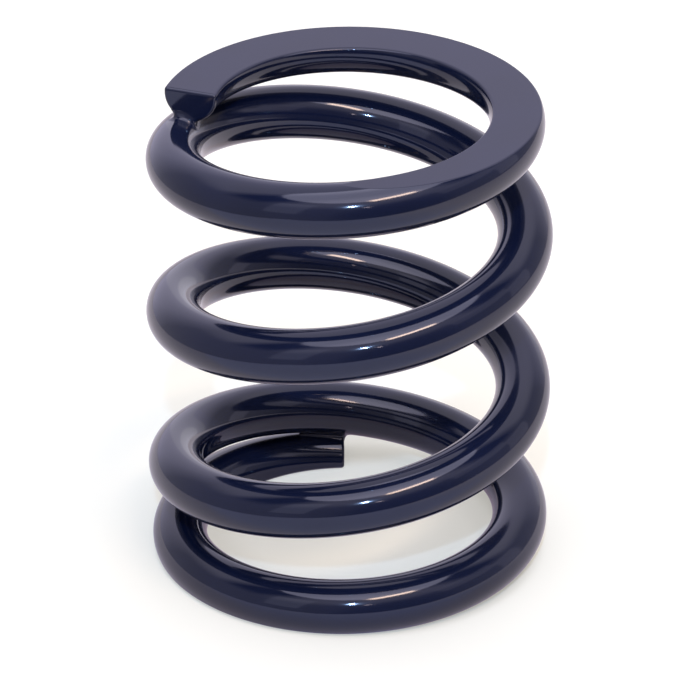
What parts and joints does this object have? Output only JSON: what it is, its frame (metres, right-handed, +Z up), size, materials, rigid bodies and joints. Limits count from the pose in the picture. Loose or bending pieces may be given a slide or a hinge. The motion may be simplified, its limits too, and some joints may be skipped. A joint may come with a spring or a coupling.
{
  "type": "coilover spring",
  "caption": "Compression spring for a coilover damper: thick round bar wound into open coils, with closed and flat-ground ends and a dark navy gloss coat.",
  "frame": {"origin": "centre of the bottom seat, in the plane of the ground flat that the spring stands on", "axes": "+Z up the spring's axis, towards the top seat; -Y towards the viewer and +X to the right as pictured, so the bottom tip is at the back"},
  "size_m": [0.0842, 0.0842, 0.1016],
  "materials": {
    "coat": "gloss"
  },
  "bodies": {
    "root": {"coil_spring": "coat"}
  },
  "joints": []
}
